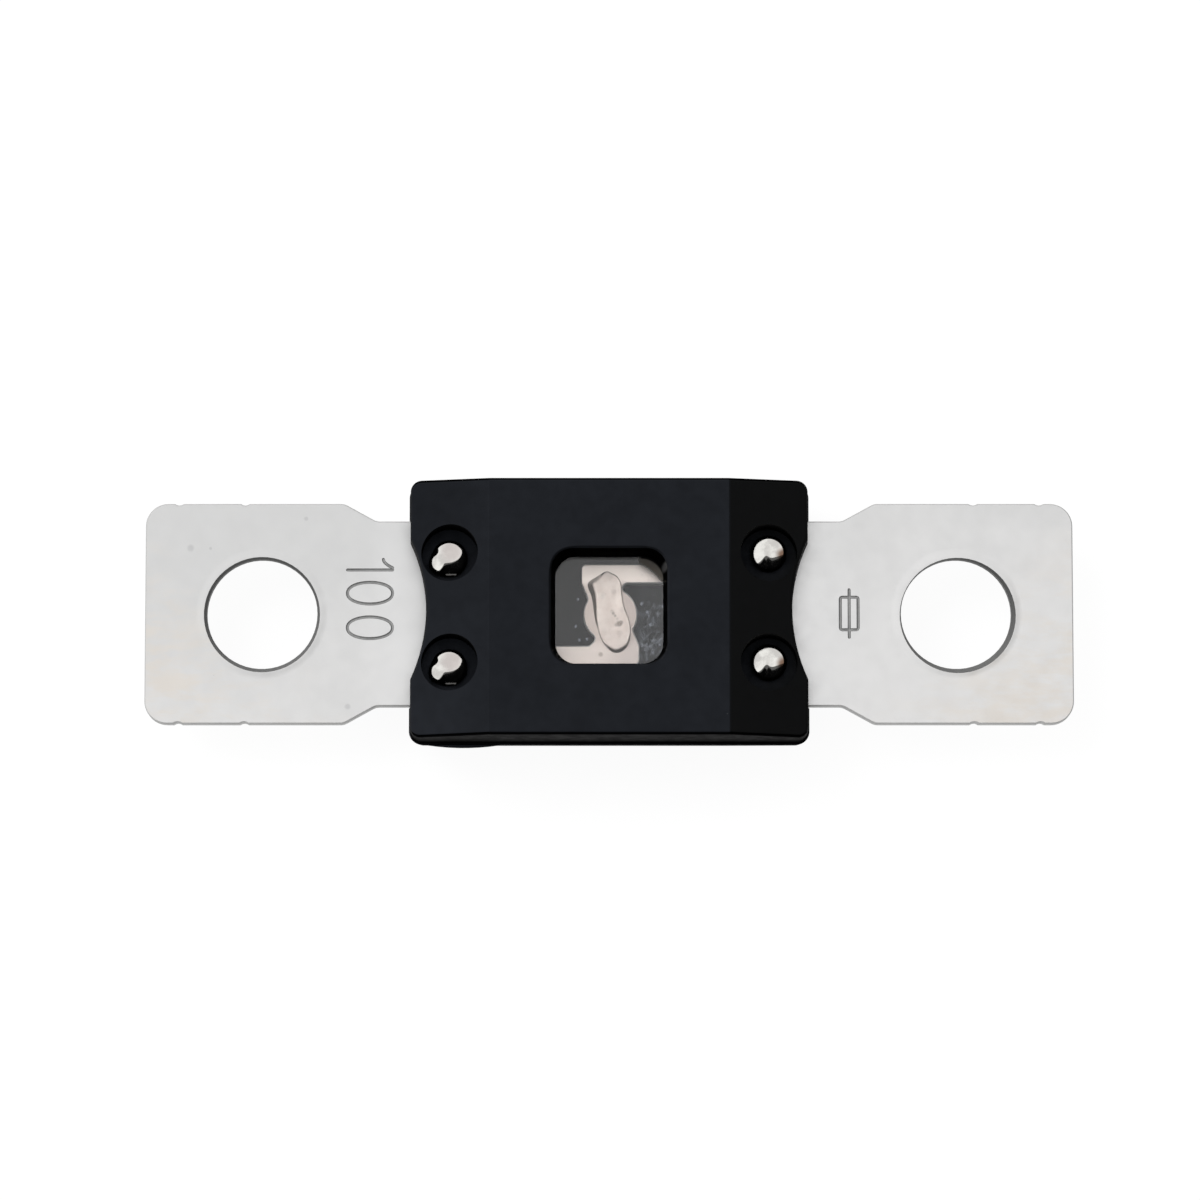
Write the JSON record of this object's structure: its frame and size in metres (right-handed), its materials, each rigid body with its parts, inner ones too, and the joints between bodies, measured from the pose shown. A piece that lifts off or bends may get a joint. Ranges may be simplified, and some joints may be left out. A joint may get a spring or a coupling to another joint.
{
  "type": "bolt-down strip fuse",
  "caption": "Bolt-down strip fuse: a stamped metal strip with a stud hole in each end and an S-shaped element, clamped between riveted half shells with a clear window.",
  "frame": {"origin": "midway between the two stud holes, in the flat underside of the blades that seats on the terminals", "axes": "+X along the fuse from one stud hole to the other, +Z out of the window side"},
  "size_m": [0.068, 0.0194, 0.0107],
  "materials": {
    "strip_metal": "satin tin plating on a copper-alloy strip",
    "tin": "dull cast tin",
    "housing_plastic": "fine matte moulded",
    "window_clear": "clear, lightly scratched",
    "rivet_metal": "bright nickel plating"
  },
  "bodies": {
    "root": {"fuse_strip": "strip_metal", "tin_pill": "tin", "upper_housing": "housing_plastic", "lower_housing": "housing_plastic", "window_pane": "window_clear", "rivets": "rivet_metal"}
  },
  "joints": []
}
